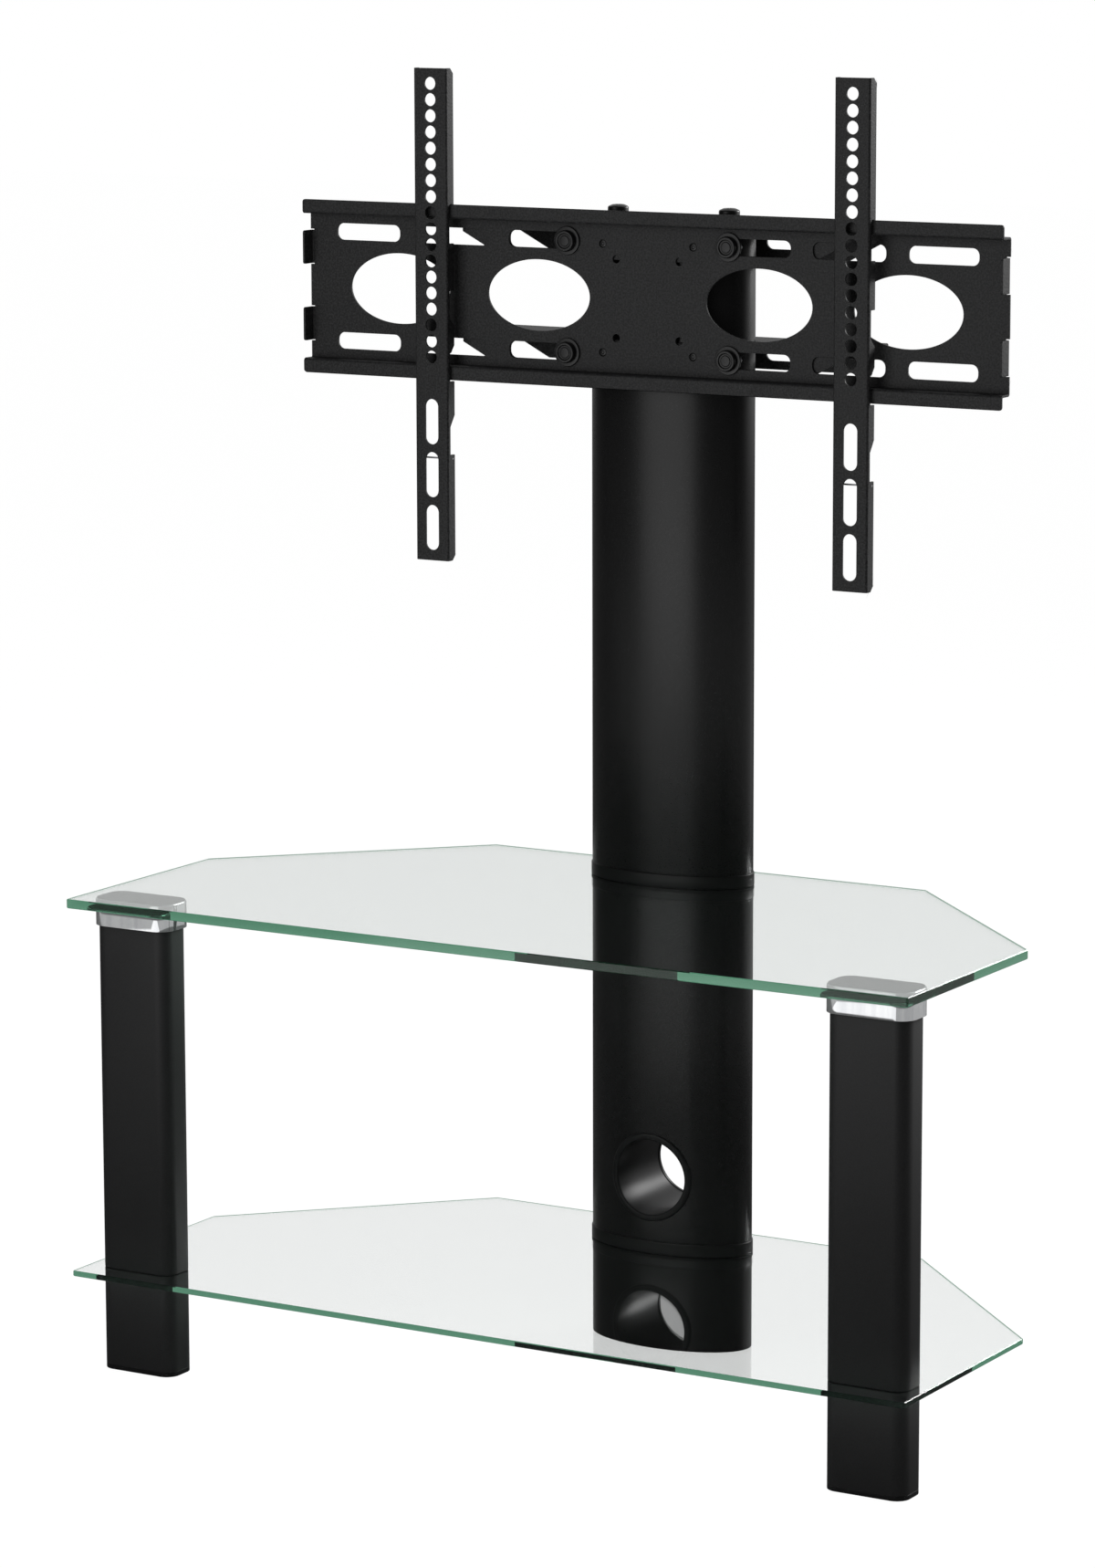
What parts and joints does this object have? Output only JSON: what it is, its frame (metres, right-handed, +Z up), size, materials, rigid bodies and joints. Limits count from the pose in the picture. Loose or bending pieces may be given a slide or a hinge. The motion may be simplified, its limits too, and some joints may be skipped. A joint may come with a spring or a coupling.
{
  "type": "tv stand with mount",
  "caption": "Floor stand with glass shelves, front legs with polished caps and an elliptical column that carries a slotted plate with sliding arms for a television.",
  "frame": {"origin": "on the floor, in the middle of the stand's width and of the shelves' depth", "axes": "+Z up, +X to the right seen from the front, +Y from the front to the back"},
  "size_m": [0.8, 0.4, 1.109],
  "materials": {
    "top_glass": "clear tempered glass, polished edge",
    "lower_glass": "clear tempered glass, polished edge",
    "leg_paint": "satin black",
    "column_paint": "fine-textured satin black",
    "bracket_paint": "fine-textured black powder coat",
    "black_plastic": "matt black moulding",
    "cap_chrome": "polished",
    "zinc": "zinc plated",
    "black_screw": "black oxide, slightly glossy",
    "rubber": "matt"
  },
  "bodies": {
    "stand": {"top_shelf": "top_glass", "lower_shelf": "lower_glass", "left_leg_tube": "leg_paint", "right_leg_tube": "leg_paint", "left_foot_tube": "leg_paint", "right_foot_tube": "leg_paint", "left_foot_plug": "black_plastic", "right_foot_plug": "black_plastic", "left_leg_cap": "cap_chrome", "right_leg_cap": "cap_chrome", "leg_end_plugs": "black_plastic", "leg_tie_rods": "zinc", "leg_nuts": "zinc", "cap_pads": "rubber", "column_lower_tube": "column_paint", "column_middle_tube": "column_paint", "column_upper_tube": "column_paint", "lower_seat_ring": "black_plastic", "lower_collar": "black_plastic", "upper_seat_ring": "black_plastic", "upper_collar": "black_plastic", "cable_liner": "black_plastic", "liner_ring": "black_plastic", "column_base_plate": "column_paint", "column_glides": "rubber", "column_lid": "column_paint", "column_tie_rods": "zinc", "top_screws": "black_screw", "upper_rail": "bracket_paint", "lower_rail": "bracket_paint", "rail_screws": "black_screw", "mount_plate": "bracket_paint", "upper_flange": "bracket_paint", "lower_flange": "bracket_paint", "upper_lip": "bracket_paint", "lower_lip": "bracket_paint", "plate_bolts": "black_screw", "plate_washers": "black_screw", "plate_nuts": "zinc"},
    "left_arm_slider": {"left_arm": "bracket_paint", "left_arm_pin": "zinc"},
    "right_arm_slider": {"right_arm": "bracket_paint", "right_arm_pin": "zinc"}
  },
  "joints": [
    {"name": "left_arm_slide", "type": "slide", "parent": "stand", "child": "left_arm_slider", "axis": [1, 0, 0], "range_m": [-0.116, 0.183]},
    {"name": "right_arm_slide", "type": "slide", "parent": "stand", "child": "right_arm_slider", "axis": [1, 0, 0], "range_m": [-0.183, 0.116]}
  ]
}
